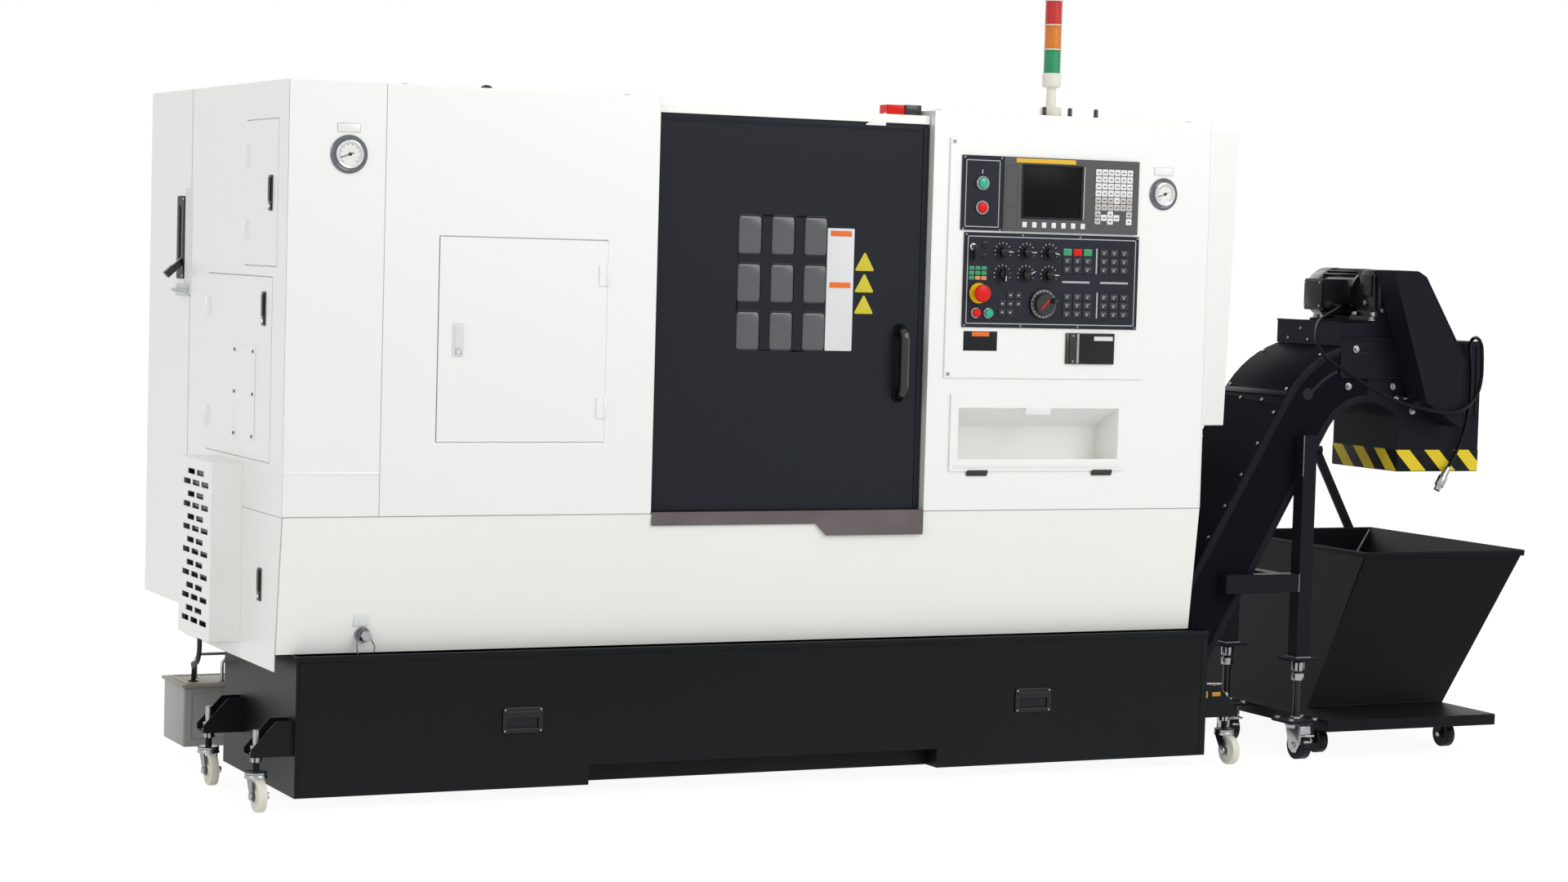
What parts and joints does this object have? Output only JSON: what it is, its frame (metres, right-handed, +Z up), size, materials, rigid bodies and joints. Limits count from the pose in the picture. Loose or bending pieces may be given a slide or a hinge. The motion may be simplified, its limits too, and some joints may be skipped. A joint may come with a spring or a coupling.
{
  "type": "cnc turning lathe",
  "caption": "Slant-bed turning lathe in white covers with a dark sliding door, control console, signal tower, coolant tank, chip conveyor and chip cart.",
  "frame": {"origin": "centre of the footprint on the floor, without the cord and hose", "axes": "+X to the right along the spindle, +Y to the back, +Z up; the front faces -Y"},
  "size_m": [3.837, 1.2518, 2.028],
  "materials": {
    "cast_iron": "matt machine paint",
    "machined_steel": "machined",
    "white_paint": "satin",
    "dark_paint": "satin",
    "grey_plastic": "matt",
    "dark_panel": "matt",
    "black_plastic": "gloss",
    "red_plastic": "gloss",
    "green_plastic": "gloss",
    "tinted_glass": "tinted",
    "lens_plastic": "gloss",
    "grey_paint": "satin",
    "cord_rubber": "satin",
    "white_nylon": "matt"
  },
  "bodies": {
    "machine": {"bed_casting": "cast_iron", "leveling_feet": "machined_steel", "headstock_casting": "cast_iron", "bed_rails": "machined_steel", "headstock_guard": "white_paint", "left_end_cover": "white_paint", "headstock_cover": "white_paint", "console_cover": "white_paint", "right_end_cover": "white_paint", "rear_cover": "white_paint", "door_track": "white_paint", "interlock_switch": "red_plastic", "door_sill": "machined_steel", "apron": "white_paint", "electrical_cabinet": "white_paint", "cooler_box": "white_paint", "coolant_tank": "dark_paint", "console_plate": "white_paint", "display_unit": "grey_plastic", "operator_panel": "dark_panel", "gauges": "machined_steel", "signal_tower": "lens_plastic", "conveyor_trough": "dark_paint", "conveyor_head": "dark_paint", "chain_guard": "dark_paint", "conveyor_motor": "dark_paint", "discharge_chute": "dark_paint", "conveyor_frame": "dark_paint", "chip_cart": "dark_paint", "oil_box": "grey_paint", "drain_hose": "cord_rubber", "motor_cord": "cord_rubber", "cord_plug": "machined_steel"},
    "door": {"main_door": "dark_paint", "door_windows": "tinted_glass", "door_handle": "black_plastic"},
    "access_door": {"access_door": "white_paint"},
    "side_door_upper": {"side_door_upper": "white_paint"},
    "side_door_lower": {"side_door_lower": "white_paint"},
    "bin": {"bin_flap": "white_paint", "bin_pocket": "white_paint"},
    "data_cover": {"data_cover": "dark_panel"},
    "disconnect_lever": {"disconnect_lever": "black_plastic"},
    "estop_button": {"estop_button": "red_plastic"},
    "power_on_button": {"power_on_button": "green_plastic"},
    "power_off_button": {"power_off_button": "red_plastic"},
    "handwheel": {"handwheel": "dark_panel"},
    "spindle": {"spindle": "machined_steel", "chuck": "machined_steel"},
    "saddle": {"saddle": "cast_iron"},
    "turret_slide": {"turret_slide": "cast_iron"},
    "turret_disc": {"turret_disc": "machined_steel"},
    "tailstock": {"tailstock": "cast_iron"},
    "quill": {"quill": "machined_steel"},
    "front_caster_fork": {"front_caster_fork": "machined_steel"},
    "front_caster_wheel": {"front_caster_wheel": "white_nylon"},
    "rear_caster_fork": {"rear_caster_fork": "machined_steel"},
    "rear_caster_wheel": {"rear_caster_wheel": "white_nylon"},
    "right_caster_fork": {"right_caster_fork": "machined_steel"},
    "right_caster_wheel": {"right_caster_wheel": "white_nylon"}
  },
  "joints": [
    {"name": "door_slide", "type": "slide", "parent": "machine", "child": "door", "axis": [-1, 0, 0], "range_m": [0, 0.64]},
    {"name": "access_door_hinge", "type": "hinge", "parent": "machine", "child": "access_door", "pos_m": [-1.0359, -0.5814, 1.108], "axis": [0, 0, 1], "range_deg": [0, 110]},
    {"name": "side_door_upper_hinge", "type": "hinge", "parent": "machine", "child": "side_door_upper", "pos_m": [-1.8459, -0.2434, 1.442], "axis": [0, 0, -1], "range_deg": [0, 110]},
    {"name": "side_door_lower_hinge", "type": "hinge", "parent": "machine", "child": "side_door_lower", "pos_m": [-1.8459, 0.0656, 1.026], "axis": [0, 0, -1], "range_deg": [0, 110]},
    {"name": "bin_tilt", "type": "hinge", "parent": "machine", "child": "bin", "pos_m": [0.1755, -0.5804, 0.786], "axis": [1, 0, 0], "range_deg": [0, 35]},
    {"name": "data_cover_hinge", "type": "hinge", "parent": "machine", "child": "data_cover", "pos_m": [0.2595, -0.5862, 1.107], "axis": [0, 0, -1], "range_deg": [0, 110]},
    {"name": "lever_swing", "type": "hinge", "parent": "machine", "child": "disconnect_lever", "pos_m": [-1.7795, 0.315, 1.33], "axis": [0, 1, 0], "range_deg": [0, 86]},
    {"name": "estop_press", "type": "slide", "parent": "machine", "child": "estop_button", "axis": [0, 1, 0], "range_m": [0, 0.005], "stiffness_N_per_m": 2500},
    {"name": "power_on_press", "type": "slide", "parent": "machine", "child": "power_on_button", "axis": [0, 1, 0], "range_m": [0, 0.004], "stiffness_N_per_m": 1500},
    {"name": "power_off_press", "type": "slide", "parent": "machine", "child": "power_off_button", "axis": [0, 1, 0], "range_m": [0, 0.004], "stiffness_N_per_m": 1500},
    {"name": "handwheel_turn", "type": "hinge", "parent": "machine", "child": "handwheel", "pos_m": [0.1705, -0.597, 1.221], "axis": [0, 1, 0], "continuous": true},
    {"name": "spindle_turn", "type": "hinge", "parent": "machine", "child": "spindle", "pos_m": [-0.9415, -0.177, 1.03], "axis": [1, 0, 0], "continuous": true},
    {"name": "saddle_travel", "type": "slide", "parent": "machine", "child": "saddle", "axis": [1, 0, 0], "range_m": [-0.42, 0.06]},
    {"name": "cross_travel", "type": "slide", "parent": "saddle", "child": "turret_slide", "axis": [0, -0.7071, -0.7071], "range_m": [0, 0.16]},
    {"name": "turret_index", "type": "hinge", "parent": "turret_slide", "child": "turret_disc", "pos_m": [-0.2415, 0.05635, 1.26335], "axis": [1, 0, 0], "continuous": true},
    {"name": "tailstock_travel", "type": "slide", "parent": "machine", "child": "tailstock", "axis": [-1, 0, 0], "range_m": [0, 0.18]},
    {"name": "quill_travel", "type": "slide", "parent": "tailstock", "child": "quill", "axis": [-1, 0, 0], "range_m": [0, 0.08]},
    {"name": "front_caster_swivel", "type": "hinge", "parent": "machine", "child": "front_caster_fork", "pos_m": [-1.8815, -0.547, 0.082], "axis": [0, 0, 1], "continuous": true},
    {"name": "front_caster_roll", "type": "hinge", "parent": "front_caster_fork", "child": "front_caster_wheel", "pos_m": [-1.8815, -0.575, 0.038], "axis": [1, 0, 0], "continuous": true},
    {"name": "rear_caster_swivel", "type": "hinge", "parent": "machine", "child": "rear_caster_fork", "pos_m": [-1.8815, -0.147, 0.082], "axis": [0, 0, 1], "continuous": true},
    {"name": "rear_caster_roll", "type": "hinge", "parent": "rear_caster_fork", "child": "rear_caster_wheel", "pos_m": [-1.8815, -0.175, 0.038], "axis": [1, 0, 0], "continuous": true},
    {"name": "right_caster_swivel", "type": "hinge", "parent": "machine", "child": "right_caster_fork", "pos_m": [0.7945, -0.555, 0.082], "axis": [0, 0, 1], "continuous": true},
    {"name": "right_caster_roll", "type": "hinge", "parent": "right_caster_fork", "child": "right_caster_wheel", "pos_m": [0.7945, -0.583, 0.038], "axis": [1, 0, 0], "continuous": true}
  ]
}
